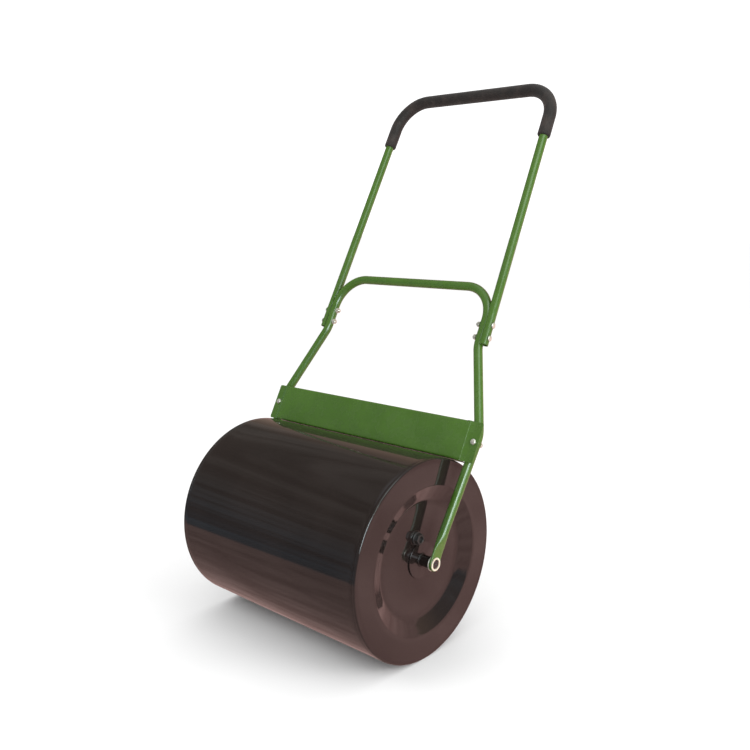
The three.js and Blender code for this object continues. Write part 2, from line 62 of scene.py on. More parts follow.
AXLE_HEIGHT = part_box("axle_rod")[0].z / 2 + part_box("axle_rod")[1].z / 2
DRUM_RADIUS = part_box("drum_shell")[1].z - AXLE_HEIGHT
SHELL_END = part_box("drum_shell")[1].x
PLATE_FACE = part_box("end_plate_right")[1].x
SKIRT_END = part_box("end_plate_right")[0].x
BOSS_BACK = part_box("hub_boss_right")[0].x
BOSS_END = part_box("hub_boss_right")[1].x
AXLE_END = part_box("axle_rod")[1].x
WASHER_START, WASHER_END = (corner.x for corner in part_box("thrust_washer_right"))
BUSH_START, BUSH_END = (corner.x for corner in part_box("axle_bush_right"))

# ---- driving dimensions that a box doesn't give, as in the CAD source

SHEET = 0.0018
PLATE_STEP_RADIUS = 0.149
PLATE_STEP_DEPTH = 0.0025
PLATE_STEP_TAPER = 0.005
DISH_RADIUS = 0.118
DISH_DEPTH = 0.015
DISH_ROUNDING = 0.012
RIM_ROUNDING = 0.006

AXLE_RADIUS = 0.009
AXLE_BORE = 0.0094
HUB_FLANGE_RADIUS = 0.037
HUB_FLANGE_THICKNESS = 0.0026
BOSS_RADIUS = 0.01125
BUSH_BARREL_RADIUS = 0.0105
BUSH_FLANGE_RADIUS = 0.0131
BUSH_FLANGE_THICKNESS = 0.0022
THRUST_WASHER_RADIUS = 0.015

FILLER_PLACE = Vector((PLATE_FACE - DISH_DEPTH, -0.018, AXLE_HEIGHT + 0.049))
NECK_FLANGE_RADIUS = 0.014
NECK_BARREL_RADIUS = 0.011
NECK_BORE = 0.0085
PLUG_BARREL_RADIUS = 0.0081
PLUG_FLANGE_RADIUS = 0.013
PLUG_FLANGE_THICKNESS = 0.0025
PLUG_HEX_FLATS = 0.019
PLUG_HEX_HEIGHT = 0.008
PLUG_THREAD_PITCH = 0.0018
PLUG_THREAD_DEPTH = 0.0009
PLUG_THREAD_ROWS = 40
PLUG_TOP_SLOPE = 0.55
PLUG_HOLLOW_DEPTH = 0.0048
NECK_LENGTH = 0.011
NECK_FLANGE_TOP = 0.003
SEAL_RADIUS = 0.0125
SEAL_EDGE = 0.0005

LEAN = math.radians(27.2)
TUBE_RADIUS = 0.0095
TUBE_WALL = 0.0015
EYE_X = 0.2725
EYE_HALF_THICKNESS = 0.0025
EYE_HALF_WIDTH = 0.014
EYE_HOLE_RADIUS = 0.0109
EYE_FLAT_END = 0.022
EYE_ROUND_START = 0.060
LEG_KNEE = (0.2856, 0.261)
LEG_SHOULDER = (0.2184, 0.444)
LEG_BEND_RADIUS = 0.068
CROSSBAR_HEIGHT = 0.5727
CROSSBAR_BEND_RADIUS = 0.0715

HANDLE_FOOT = (0.2312, 0.447)
HANDLE_TOP = (0.2168, 1.049)
HANDLE_BEND_RADIUS = 0.075
CRUSH_END_HEIGHT = 0.545
TOUCH_GAP = 0.0003

GRIP_RADIUS = 0.0143
GRIP_BORE = 0.00956
GRIP_END_HEIGHT = 0.928
GRIP_END_ROUNDING = 0.0035

PANEL_BOTTOM = 0.2035
PANEL_TOP = 0.285
PANEL_HALF_LENGTH = 0.296
PANEL_SHEET = 0.0016
PANEL_FACE_FORWARD = 0.016
EAR_START = 0.279
JOGGLE_START = 0.267
JOGGLE_ROUNDING = 0.0035
TOP_LIP_BACK_FORWARD = 0.005
BOTTOM_LIP_BACK_FORWARD = -0.008
LIP_BOTTOM_HALF_LENGTH = 0.266
LIP_TOP_HALF_LENGTH = 0.260
PANEL_BOLT_HEIGHT = 0.245

BOLT_RADIUS = 0.003
BOLT_HOLE_RADIUS = 0.00335
BOLT_HEAD_RADIUS = 0.006
BOLT_HEAD_HEIGHT = 0.0036
THREAD_PITCH = 0.001
THREAD_DEPTH = 0.00055
WASHER_RADIUS = 0.0062
WASHER_THICKNESS = 0.0012
NUT_FLATS = 0.010
NUT_HEIGHT = 0.0048
HANDLE_BOLT_LENGTH = 0.041
PANEL_BOLT_LENGTH = 0.030
BOLT_THREAD_LENGTH = 0.018
BOLT_POINT = 0.0008
BOLT_HEAD_RIM = 0.0009
NUT_CHAMFER_SLOPE = math.tan(math.radians(28))
HANDLE_BOLT_HEIGHTS = (("upper", 0.490), ("lower", 0.462))

TO_AXLE = Matrix.Translation((0, 0, AXLE_HEIGHT))
TO_FILLER = Matrix.Translation(FILLER_PLACE)
TO_FRAME = TO_AXLE @ Matrix.Rotation(-LEAN, 4, "X")  # local Z runs up the frame, local -Y is forward
COARSE_ARC = math.radians(12)
FINE_ARC = math.radians(3)
TINY = 1e-6
SLIVER = 0.00002
HERE = Matrix.Identity(4)
POLE_RADIUS = 0.00001  # of the cap where a turned body closes on its axis
SMALL_EDGE = 0.0003
ROUND_SEGMENTS = 96
SHARP_CRISP = 30  # degrees from which an edge stays sharp in the shading
SHARP_TUBE = 32
SHARP_PLAIN = 35
SHARP_FOAM = 60


# ---- outlines in a plane

def rounded(corners, closed=False, step=COARSE_ARC):
    """The polyline through corners (a, b, fillet radius), each turned into an arc where it has a radius."""
    count = len(corners)
    points = []
    for i, (a, b, radius) in enumerate(corners):
        here = Vector((a, b))
        if not radius or (not closed and i in (0, count - 1)):
            points.append(here)
            continue
        before = Vector(corners[i - 1][:2]) - here
        after = Vector(corners[(i + 1) % count][:2]) - here
        half = before.angle(after) / 2
        reach = min(radius / math.tan(half), 0.49 * before.length, 0.49 * after.length)
        middle = (before.normalized() + after.normalized()).normalized()
        centre = here + middle * (reach / math.cos(half))
        start = here + before.normalized() * reach - centre
        turn = start.angle_signed(here + after.normalized() * reach - centre)
        steps = max(2, math.ceil(abs(turn) / step))
        for k in range(steps + 1):
            points.append(centre + Matrix.Rotation(-turn * k / steps, 2) @ start)
    return points


def closed_section(corners, step=COARSE_ARC):
    """The rows of a turned body whose section closes on itself."""
    return [tuple(point) for point in rounded(corners, True, step)]


def outline_ring(half_thickness, half_width, sides, squareness=2.0):
    """Points (outward, forward) from a circle (squareness 2) towards a rectangle as squareness grows."""
    def bulged(value):
        return math.copysign(abs(value) ** (2 / squareness), value)

    angles = [2 * math.pi * i / sides for i in range(sides)]
    return [(half_thickness * bulged(math.cos(t)), half_width * bulged(math.sin(t))) for t in angles]


def smoothstep(value, low, high):
    share = min(max((value - low) / (high - low), 0), 1)
    return share * share * (3 - 2 * share)


def lerp(start, end, share):
    return start + (end - start) * share


# ---- meshes

def mesh_object(name, points, faces, matrix=HERE):
    mesh = bpy.data.meshes.new(name)
    mesh.from_pydata([matrix @ Vector(point) for point in points], [], faces)
    work = bmesh.new()
    work.from_mesh(mesh)
    bmesh.ops.remove_doubles(work, verts=work.verts, dist=1e-7)
    bmesh.ops.recalc_face_normals(work, faces=work.faces)
    work.to_mesh(mesh)
    work.free()
    obj = bpy.data.objects.new(name, mesh)
    bpy.context.scene.collection.objects.link(obj)
    return obj


def grid_faces(rows, count, closed_rows):
    """Quads between rows of count points each, joined round each row, and end to end if closed."""
    faces = []
    for row in range(rows if closed_rows else rows - 1):
        start, above = row * count, (row + 1) % rows * count
        for i in range(count):
            j = (i + 1) % count
            faces.append((start + i, start + j, above + j, above + i))
    return faces


def capped_faces(rows, count):
    """Quads between rows, and a cap on the first row and the last."""
    last = (rows - 1) * count
    caps = [tuple(range(count)), tuple(range(last, last + count))]
    return grid_faces(rows, count, False) + caps


def revolved(name, rows, segments, closed=True, matrix=HERE):
    """A body round the X axis. A row is (x, radius), or a function of the angle that gives them."""
    points = []
    for row in rows:
        for i in range(segments):
            angle = 2 * math.pi * i / segments
            x, radius = row(angle) if callable(row) else row
            points.append((x, -radius * math.sin(angle), radius * math.cos(angle)))
    count = len(rows)
    faces = grid_faces(count, segments, True) if closed else capped_faces(count, segments)
    return mesh_object(name, points, faces, matrix)


def lofted(name, rings):
    """A solid through rings of points, capped at both ends."""
    points = [point for ring in rings for point in ring]
    return mesh_object(name, points, capped_faces(len(rings), len(rings[0])))


def sleeve(name, outer_rings, inner_rings, matrix=HERE):
    """A tube open at both ends, from its outer rings and its inner rings."""
    rings = outer_rings + inner_rings[::-1]
    faces = grid_faces(len(rings), len(rings[0]), True)
    return mesh_object(name, [point for ring in rings for point in ring], faces, matrix)


def applied(obj):
    """Turns the modifiers of a piece into its mesh."""
    graph = bpy.context.evaluated_depsgraph_get()
    mesh = bpy.data.meshes.new_from_object(obj.evaluated_get(graph))
    obj.modifiers.clear()
    obj.data = mesh
    return obj


def cut(obj, *tools):
    for tool in tools:
        modifier = obj.modifiers.new("cut", "BOOLEAN")
        modifier.operation = "DIFFERENCE"
        modifier.solver = "EXACT"
        modifier.object = tool
    applied(obj)
    for tool in tools:
        bpy.data.objects.remove(tool)
    return obj


def healed(obj):
    """Closes the slivers that a cut leaves in a tube."""
    mesh = bmesh.new()
    mesh.from_mesh(obj.data)
    bmesh.ops.remove_doubles(mesh, verts=mesh.verts, dist=SLIVER)
    bmesh.ops.dissolve_degenerate(mesh, dist=SLIVER, edges=mesh.edges)
    bmesh.ops.holes_fill(mesh, edges=[edge for edge in mesh.edges if edge.is_boundary])
    mesh.to_mesh(obj.data)
    mesh.free()


def bevelled(obj, width, segments, sharp_degrees):
    modifier = obj.modifiers.new("bevel", "BEVEL")
    modifier.width = width
    modifier.segments = segments
    modifier.limit_method = "ANGLE"
    modifier.angle_limit = math.radians(sharp_degrees)
    modifier.harden_normals = False
    return applied(obj)


def drill(start, end, radius, chamfer, segments):
    """A cutter along X, flared at both ends."""
    flare = radius + chamfer
    rows = [(start, flare), (start + chamfer, radius), (end - chamfer, radius), (end, flare)]
    return revolved("drill", rows, segments, closed=False)


# ---- materials

NOISE_LOW, NOISE_HIGH = 0.3, 0.7  # where most of a noise texture lies
ROUGHNESS_GRAIN = 0.6


def make_material(fill, **sockets):
    """A material named after fill: sockets that are the same all over, and the nodes that fill adds."""
    material = bpy.data.materials.new(fill.__name__)
    material.use_nodes = True
    shader = material.node_tree.nodes["Principled BSDF"]
    for socket, value in sockets.items():
        shader.inputs[socket.replace("_", " ")].default_value = value
    fill(material.node_tree)
    return material


def add_node(tree, kind, settings=None, **inputs):
    """A node whose inputs are values or other nodes' output sockets."""
    node = tree.nodes.new(kind)
    for name, value in (settings or {}).items():
        setattr(node, name, value)
    for name, value in inputs.items():
        socket = node.inputs[name.replace("_", " ")]
        if isinstance(value, bpy.types.NodeSocket):
            tree.links.new(value, socket)
        else:
            socket.default_value = value
    return node


def connect(tree, output, socket_name):
    tree.links.new(output, tree.nodes["Principled BSDF"].inputs[socket_name])


def place_of(tree, stretch=(1, 1, 1)):
    """The place on the piece, in metres, so a pattern turns with its piece."""
    coordinates = add_node(tree, "ShaderNodeTexCoord").outputs["Object"]
    if stretch == (1, 1, 1):
        return coordinates
    return add_node(tree, "ShaderNodeMapping", Vector=coordinates, Scale=stretch).outputs["Vector"]


def noise_of(tree, scale, detail, roughness, stretch=(1, 1, 1)):
    grain = {"Scale": scale, "Detail": detail, "Roughness": roughness}
    return add_node(tree, "ShaderNodeTexNoise", Vector=place_of(tree, stretch), **grain).outputs["Fac"]


def ranged(tree, value, low, high, to_low=0.0, to_high=1.0):
    ends = {"From_Min": low, "From_Max": high, "To_Min": to_low, "To_Max": to_high}
    smooth = {"interpolation_type": "SMOOTHSTEP"}
    return add_node(tree, "ShaderNodeMapRange", smooth, Value=value, **ends).outputs["Result"]


def summed(tree, operation, first, second):
    node = add_node(tree, "ShaderNodeMath", {"operation": operation})
    tree.links.new(first, node.inputs[0])
    tree.links.new(second, node.inputs[1])
    return node.outputs[0]


def mixed(tree, share, first, second):
    """A colour between two, each a colour or a socket."""
    node = add_node(tree, "ShaderNodeMix", {"data_type": "RGBA"}, Factor=share)
    colours = [socket for socket in node.inputs if socket.type == "RGBA"]
    for socket, value in zip(colours, (first, second)):
        if isinstance(value, bpy.types.NodeSocket):
            tree.links.new(value, socket)
        else:
            socket.default_value = (*value, 1)
    return next(socket for socket in node.outputs if socket.type == "RGBA")


def bumped(tree, *layers):
    """Bump from (height socket, distance in metres, strength) layers, one on another."""
    normal = None
    for height, distance, strength in layers:
        node = add_node(tree, "ShaderNodeBump", Height=height, Distance=distance, Strength=strength)
        if normal is not None:
            tree.links.new(normal, node.inputs["Normal"])
        normal = node.outputs["Normal"]
    connect(tree, normal, "Normal")


def patches(tree, grain, *limits):
    """Noise of a (scale, detail, roughness) grain, spread between limits as in ranged."""
    return ranged(tree, noise_of(tree, *grain), *limits)


def vary_roughness(tree, scale, detail, least, most):
    grain = (scale, detail, ROUGHNESS_GRAIN)
    connect(tree, patches(tree, grain, NOISE_LOW, NOISE_HIGH, least, most), "Roughness")


def two_tone(tree, share, first, second):
    connect(tree, mixed(tree, share, first, second), "Base Color")


def drum_enamel(tree):
    """Thick black-brown gloss enamel with orange peel, a film of dust and faint rubbing marks."""
    cloud = patches(tree, (7, 3, 0.55), 0.35, 0.7)
    colour = mixed(tree, cloud, (0.0135, 0.0098, 0.0090), (0.0165, 0.0120, 0.0110))
    dust = patches(tree, (160, 6, 0.75), 0.62, 0.8, 0.0, 0.12)
    two_tone(tree, dust, colour, (0.055, 0.045, 0.04))
    scuffs = noise_of(tree, 30, 5, 0.65, (0.25, 1, 1))
    connect(tree, ranged(tree, scuffs, 0.4, 0.75, 0.04, 0.12), "Roughness")
    bumped(tree, (noise_of(tree, 420, 2, 0.5), 0.00004, 0.35))


def green_enamel(tree):
    """Mid-green gloss enamel, a little lighter where it has run thin."""
    cloud = patches(tree, (16, 3, 0.6), 0.35, 0.7)
    colour = mixed(tree, cloud, (0.047, 0.113, 0.013), (0.055, 0.128, 0.016))
    speck = patches(tree, (700, 4, 0.7), 0.66, 0.78, 0.0, 0.3)
    two_tone(tree, speck, colour, (0.07, 0.13, 0.04))
    vary_roughness(tree, 45, 4, 0.2, 0.32)
    bumped(tree, (noise_of(tree, 520, 2, 0.5), 0.00005, 0.4))


def black_steel(tree):
    """Satin black paint over a weldment, rubbed to bare steel here and there."""
    rubbed = patches(tree, (240, 5, 0.7), 0.66, 0.76)
    two_tone(tree, rubbed, (0.016, 0.013, 0.012), (0.10, 0.09, 0.085))
    vary_roughness(tree, 120, 4, 0.22, 0.42)
    bumped(tree, (noise_of(tree, 600, 3, 0.6), 0.00005, 0.6))


def zinc_steel(tree):
    """Bright zinc plating with a pale yellow passivate and dull spots."""
    tint = patches(tree, (260, 3, 0.6), 0.35, 0.7)
    colour = mixed(tree, tint, (0.74, 0.73, 0.66), (0.58, 0.56, 0.46))
    dull = patches(tree, (900, 5, 0.7), 0.6, 0.75, 0.0, 0.5)
    two_tone(tree, dull, colour, (0.36, 0.35, 0.31))
    vary_roughness(tree, 500, 4, 0.22, 0.42)
    bumped(tree, (noise_of(tree, 1500, 3, 0.6), 0.00002, 0.5))


def bush_plastic(tree):
    """Cream nylon, greyed by grease in random patches."""
    grime = patches(tree, (330, 4, 0.65), 0.5, 0.72)
    two_tone(tree, grime, (0.60, 0.55, 0.43), (0.38, 0.34, 0.25))
    vary_roughness(tree, 200, 3, 0.3, 0.45)
    bumped(tree, (noise_of(tree, 900, 2, 0.5), 0.00003, 0.4))


def plug_plastic(tree):
    """Black moulded plastic with a fine spark texture."""
    worn = patches(tree, (300, 4, 0.65), 0.58, 0.75)
    two_tone(tree, worn, (0.017, 0.015, 0.014), (0.05, 0.045, 0.042))
    vary_roughness(tree, 180, 3, 0.35, 0.55)
    bumped(tree, (noise_of(tree, 2600, 2, 0.6), 0.00004, 0.7))


def seal_rubber(tree):
    """Matt black rubber with a bloom."""
    bloom = patches(tree, (400, 4, 0.7), 0.5, 0.8)
    two_tone(tree, bloom, (0.012, 0.012, 0.012), (0.045, 0.043, 0.04))
    vary_roughness(tree, 300, 3, 0.6, 0.8)
    bumped(tree, (noise_of(tree, 1800, 3, 0.6), 0.00004, 0.6))


def grip_foam(tree):
    """Closed-cell rubber foam: fine cell hollows painted near-black as painted shade, a brown-black skin and
    paler rubbed patches.
    """
    skin = patches(tree, (26, 5, 0.6), 0.42, 0.72)
    colour = mixed(tree, skin, (0.012, 0.0075, 0.0057), (0.033, 0.0205, 0.0155))
    cells = add_node(tree, "ShaderNodeTexVoronoi", Vector=place_of(tree), Scale=1400.0).outputs["Distance"]
    pore_depth_and_shade = ranged(tree, cells, 0.0, 0.45)
    # Painted shade: the cell hollows are near-black, from the same mask that bumps them in.
    two_tone(tree, pore_depth_and_shade, (0.006, 0.005, 0.005), colour)
    vary_roughness(tree, 60, 4, 0.62, 0.82)
    grain = noise_of(tree, 520, 4, 0.65)
    bumped(tree, (pore_depth_and_shade, 0.00012, 0.5), (grain, 0.0002, 0.5))


MATERIALS = {
    "drum_enamel": make_material(drum_enamel, IOR=1.5),
    "green_enamel": make_material(green_enamel, IOR=1.5, Coat_Weight=0.3, Coat_Roughness=0.05, Coat_IOR=1.5),
    "black_steel": make_material(black_steel, Coat_Weight=0.25, Coat_Roughness=0.15),
    "zinc_steel": make_material(zinc_steel, Metallic=0.7),
    "bush_plastic": make_material(bush_plastic, IOR=1.53, Subsurface_Weight=0.08, Subsurface_Scale=0.002),
    "plug_plastic": make_material(plug_plastic, IOR=1.5),
    "seal_rubber": make_material(seal_rubber, IOR=1.5),
    "foam": make_material(grip_foam, IOR=1.45, Sheen_Weight=0.12, Sheen_Roughness=0.5),
}


def stands_for(obj, node, sharp_degrees=SHARP_PLAIN):
    """Gives a fine piece its node's body, slot and material, and hides the node."""
    obj.data.shade_smooth()
    obj.data.set_sharp_from_angle(angle=math.radians(sharp_degrees))
    obj.data.materials.clear()
    obj.data.materials.append(MATERIALS[SLOT_OF[node]])
    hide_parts(node)
    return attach(obj, BODY_OF[node])


def turned_piece(name, node, rows, matrix, closed=True):
    stands_for(revolved(name, rows, ROUND_SEGMENTS, closed, matrix), node)


def side_matrix(sign):
    """Turns a piece made for the right side round to the left."""
    return HERE if sign > 0 else Matrix.Rotation(math.pi, 4, "Z")


# ---- drum

DRUM_SEGMENTS = 256
SHELL_ROWS = 64
SHELL_WAVE = 0.0003
SHELL_WAVE_SCALE = 9.0
SEAM_ANGLE = math.radians(222)
SEAM_HALF_WIDTH = math.radians(1.1)
SEAM_HEIGHT = 0.00015


def shell_wave(x, angle):
    """How far a rolled sheet's surface lies below a true cylinder, fading out at the ends."""
    place = Vector((x, math.sin(angle) * DRUM_RADIUS, math.cos(angle) * DRUM_RADIUS))
    depth = SHELL_WAVE * (0.5 + 0.5 * noise.noise(place * SHELL_WAVE_SCALE))
    return depth * smoothstep(SHELL_END - abs(x), 0.0, 0.03)


def shell_seam(angle):
    """The ground-down weld along the sheet's joint."""
    off = abs((angle - SEAM_ANGLE + math.pi) % (2 * math.pi) - math.pi)
    return SEAM_HEIGHT * (1 - smoothstep(off, 0.0, SEAM_HALF_WIDTH))


def drum_shell():
    edge = 0.0004
    inside = DRUM_RADIUS - SHEET

    def outer(x):
        return lambda angle: (x, DRUM_RADIUS - shell_wave(x, angle) + shell_seam(angle))

    reach = SHELL_END - edge
    rows = [outer(lerp(-reach, reach, i / SHELL_ROWS)) for i in range(SHELL_ROWS + 1)]
    rows += [(SHELL_END - edge / 4, DRUM_RADIUS - edge / 4), (SHELL_END, DRUM_RADIUS - edge)]
    rows += [(SHELL_END, inside), (-SHELL_END, inside)]
    rows += [(-SHELL_END, DRUM_RADIUS - edge), (-SHELL_END + edge / 4, DRUM_RADIUS - edge / 4)]
    stands_for(revolved("rolled_shell", rows, DRUM_SEGMENTS, matrix=TO_AXLE), "drum_shell")


def end_plate(side, matrix):
    """A pressed end: flat middle, cone, soft step, flat rim, rounded shoulder and a skirt in the shell."""
    dish = PLATE_FACE - DISH_DEPTH
    cone_top = PLATE_FACE - PLATE_STEP_DEPTH
    shoulder = SHELL_END + TOUCH_GAP
    skirt = DRUM_RADIUS - SHEET - TOUCH_GAP
    step_foot = PLATE_STEP_RADIUS - PLATE_STEP_TAPER
    section = [
        (dish - SHEET, AXLE_BORE, 0),
        (dish, AXLE_BORE, 0),
        (dish, DISH_RADIUS, DISH_ROUNDING),
        (cone_top, step_foot, 0.002),
        (PLATE_FACE, PLATE_STEP_RADIUS, 0.0025),
        (PLATE_FACE, DRUM_RADIUS, RIM_ROUNDING),
        (shoulder, DRUM_RADIUS, SMALL_EDGE),
        (shoulder, skirt, 0),
        (SKIRT_END, skirt, 0),
        (SKIRT_END, skirt - SHEET, 0),
        (PLATE_FACE - SHEET, skirt - SHEET, 0.003),
        (PLATE_FACE - SHEET, PLATE_STEP_RADIUS + SHEET / 2, 0.001),
        (cone_top - SHEET, step_foot + SHEET / 2, 0.0035),
        (dish - SHEET, DISH_RADIUS, DISH_ROUNDING),
    ]
    rows = with_middle_rows(closed_section(section, math.radians(8)))
    plate = revolved(f"pressed_end_{side}", rows, DRUM_SEGMENTS, matrix=matrix)
    stands_for(plate, f"end_plate_{side}", SHARP_CRISP)


def with_middle_rows(rows, spacing=0.012):
    """Adds rows along the long flats."""
    full = []
    for here, after in zip(rows, rows[1:] + rows[:1]):
        pieces = max(1, math.ceil(math.dist(here, after) / spacing))
        for i in range(pieces):
            share = i / pieces
            full.append((lerp(here[0], after[0], share), lerp(here[1], after[1], share)))
    return full


def weld_bead(name, radius, x, thickness, ripples, matrix):
    """A ring of weld metal round the X axis, with the ripples of its runs."""
    rows = []
    sides = 12
    for i in range(sides):
        around = 2 * math.pi * i / sides

        def row(angle, around=around):
            swell = 1 + 0.10 * math.sin(ripples * angle) + 0.05 * math.sin(3 * angle + 1)
            reach = thickness * swell
            return x + reach * math.cos(around), radius + reach * math.sin(around)

        rows.append(row)
    return revolved(name, rows, 240, matrix=matrix)


def hub_boss(side, matrix):
    """The flange welded to the plate, and the collar welded to the flange."""
    front = BOSS_BACK + HUB_FLANGE_THICKNESS
    section = [
        (BOSS_BACK, AXLE_BORE, 0),
        (BOSS_BACK, HUB_FLANGE_RADIUS, SMALL_EDGE),
        (front, HUB_FLANGE_RADIUS, 0.0009),
        (front, BOSS_RADIUS + 0.001, 0.0016),
        (front + 0.004, BOSS_RADIUS, 0.004),
        (BOSS_END, BOSS_RADIUS, 0.0007),
        (BOSS_END, AXLE_BORE, SMALL_EDGE),
    ]
    boss = revolved(f"hub_collar_{side}", closed_section(section), ROUND_SEGMENTS, matrix=matrix)
    bead = weld_bead(f"collar_weld_{side}", BOSS_RADIUS + 0.0008, front + 0.0006, 0.0017, 26, matrix)
    join_into(boss, bead)
    stands_for(boss, f"hub_boss_{side}")


def join_into(obj, other):
    """Adds the other's mesh to obj's."""
    work = bmesh.new()
    for source in (obj, other):
        work.from_mesh(source.data)
    work.to_mesh(obj.data)
    work.free()
    bpy.data.objects.remove(other)


def axle_rod():
    """A turned bar, chamfered and centre-drilled at both ends."""
    end = AXLE_END
    centre = [(end - 0.0022, POLE_RADIUS), (end - 0.0022, 0.0007), (end - 0.0012, 0.0009), (end, 0.0021)]
    right = centre + [(end, AXLE_RADIUS - 0.001), (end - 0.001, AXLE_RADIUS)]
    left = [(-x, radius) for x, radius in right[::-1]]
    turned_piece("turned_axle", "axle_rod", right + left, TO_AXLE, closed=False)


# ---- filler

def filler_neck():
    section = [
        (-NECK_LENGTH, NECK_BORE, SMALL_EDGE),
        (-NECK_LENGTH, NECK_BARREL_RADIUS, 0.0005),
        (TOUCH_GAP, NECK_BARREL_RADIUS, 0),
        (TOUCH_GAP, NECK_FLANGE_RADIUS, SMALL_EDGE),
        (NECK_FLANGE_TOP, NECK_FLANGE_RADIUS, 0.0010),
        (NECK_FLANGE_TOP, NECK_BORE, 0.0004),
    ]
    neck = revolved("neck_ring", closed_section(section), ROUND_SEGMENTS, matrix=TO_FILLER)
    join_into(neck, weld_bead("neck_weld", NECK_FLANGE_RADIUS, 0.0006, 0.0010, 40, TO_FILLER))
    stands_for(neck, "filler_neck")


def hexagon_radius(across_flats, angle):
    """The distance from a hexagon's middle to its side."""
    sector = math.pi / 3
    return across_flats / 2 / math.cos((angle + sector / 2) % sector - sector / 2)


def filler_plug():
    """A moulded plug: ribbed barrel, flange, and a chamfered hexagon with a hollow in its top."""
    low, high = (corner.x - FILLER_PLACE.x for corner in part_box("filler_plug"))
    flange_top = high - PLUG_HEX_HEIGHT
    seat = flange_top - PLUG_FLANGE_THICKNESS
    chamfer = PLUG_HEX_FLATS / 2 - 0.0004

    def hexagon(x, inset=0.0):
        return lambda angle: (x, hexagon_radius(PLUG_HEX_FLATS, angle) - inset)

    def hexagon_top(angle):
        radius = hexagon_radius(PLUG_HEX_FLATS, angle)
        return high - 0.0002 - (radius - chamfer) * PLUG_TOP_SLOPE, radius

    threads = []
    for i in range(PLUG_THREAD_ROWS):
        x = lerp(low + 0.0015, seat - 0.001, i / (PLUG_THREAD_ROWS - 1))

        def thread(angle, x=x):
            wave = 0.5 + 0.5 * math.cos(2 * math.pi * x / PLUG_THREAD_PITCH - angle)
            return x, PLUG_BARREL_RADIUS - PLUG_THREAD_DEPTH * (1 - wave)

        threads.append(thread)
    rows = [
        (low + 0.0004, POLE_RADIUS),
        (low, PLUG_BARREL_RADIUS - 0.003),
        (low, PLUG_BARREL_RADIUS - 0.0018),
        *threads,
        (seat, PLUG_BARREL_RADIUS - 0.001),
        (seat, PLUG_FLANGE_RADIUS - 0.0004),
        (seat + 0.0004, PLUG_FLANGE_RADIUS),
        (flange_top - 0.0008, PLUG_FLANGE_RADIUS),
        (flange_top - 0.0002, PLUG_FLANGE_RADIUS - 0.0006),
        (flange_top, PLUG_FLANGE_RADIUS - 0.0012),
        hexagon(flange_top, -0.0002),
        hexagon(flange_top + 0.0005),
        hexagon_top,
        (high, chamfer - 0.0004),
        (high, 0.0066),
        (high - 0.0004, 0.0062),
        (high - 0.0045, 0.0058),
        (high - PLUG_HOLLOW_DEPTH, 0.0054),
        (high - PLUG_HOLLOW_DEPTH, POLE_RADIUS),
    ]
    plug = revolved("moulded_plug", rows, 144, closed=False, matrix=TO_FILLER)
    stands_for(plug, "filler_plug", SHARP_CRISP)


def filler_seal():
    low, high = (corner.x - FILLER_PLACE.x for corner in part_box("filler_seal"))
    bore = PLUG_BARREL_RADIUS + TOUCH_GAP
    section = [
        (low, bore, SMALL_EDGE),
        (low, SEAL_RADIUS, SEAL_EDGE),
        (high, SEAL_RADIUS, SEAL_EDGE),
        (high, bore, SMALL_EDGE),
    ]
    turned_piece("rubber_seal", "filler_seal", closed_section(section), TO_FILLER)


# ---- bearings in the frame's eyes

def axle_bush(side, matrix):
    flange_back = BUSH_END - BUSH_FLANGE_THICKNESS
    section = [
        (BUSH_START, AXLE_BORE, SMALL_EDGE),
        (BUSH_START, BUSH_BARREL_RADIUS, SMALL_EDGE),
        (flange_back, BUSH_BARREL_RADIUS, 0.0002),
        (flange_back, BUSH_FLANGE_RADIUS, SMALL_EDGE),
        (BUSH_END, BUSH_FLANGE_RADIUS, 0.0009),
        (BUSH_END, AXLE_BORE, 0.0007),
    ]
    turned_piece(f"flanged_bush_{side}", f"axle_bush_{side}", closed_section(section), matrix)


def thrust_washer(side, matrix):
    rows = ring_section(WASHER_START, WASHER_END, AXLE_BORE, THRUST_WASHER_RADIUS, SMALL_EDGE)
    turned_piece(f"side_washer_{side}", f"thrust_washer_{side}", rows, matrix)


def ring_section(start, end, bore, radius, edge):
    corners = [(start, bore, edge), (start, radius, edge), (end, radius, edge), (end, bore, edge)]
    return closed_section(corners, math.radians(30))


# ---- bent tubes, upright in the frame plane

def bent_path(corners, step=FINE_ARC):
    """Stations (point, direction) along corners (x, height, bend radius). No radius gives one station."""
    places = [Vector((corner[0], corner[1])) for corner in corners]
    directions = [(after - here).normalized() for here, after in zip(places, places[1:])]
    stations = []
    for i, here in enumerate(places):
        before = directions[max(i - 1, 0)]
        after = directions[min(i, len(directions) - 1)]
        radius = corners[i][2] if len(corners[i]) > 2 else 0
        if not radius:
            stations.append((here, (before + after).normalized()))
            continue
        turn = -before.angle_signed(after)
        to_centre = Vector((-before.y, before.x)) * math.copysign(radius, turn)
        start = here - before * (radius * math.tan(abs(turn) / 2))
        centre = start + to_centre
        steps = math.ceil(abs(turn) / step)
        for k in range(steps + 1):
            rotation = Matrix.Rotation(turn * k / steps, 2)
            stations.append((centre + rotation @ -to_centre, rotation @ before))
    return stations


def mirrored(half):
    """The right half of a path joined to its mirror image."""
    left = [(Vector((-point.x, point.y)), Vector((along.x, -along.y))) for point, along in half[::-1]]
    return half + left


def ring_at(station, outline):
    point, along = station
    return [
        Vector((point.x + along.y * outward, -forward, point.y - along.x * outward))
        for outward, forward in outline
    ]


def even_heights(start, end, spacing):
    count = max(1, round((end - start) / spacing))
    return [lerp(start, end, i / count) for i in range(count + 1)]


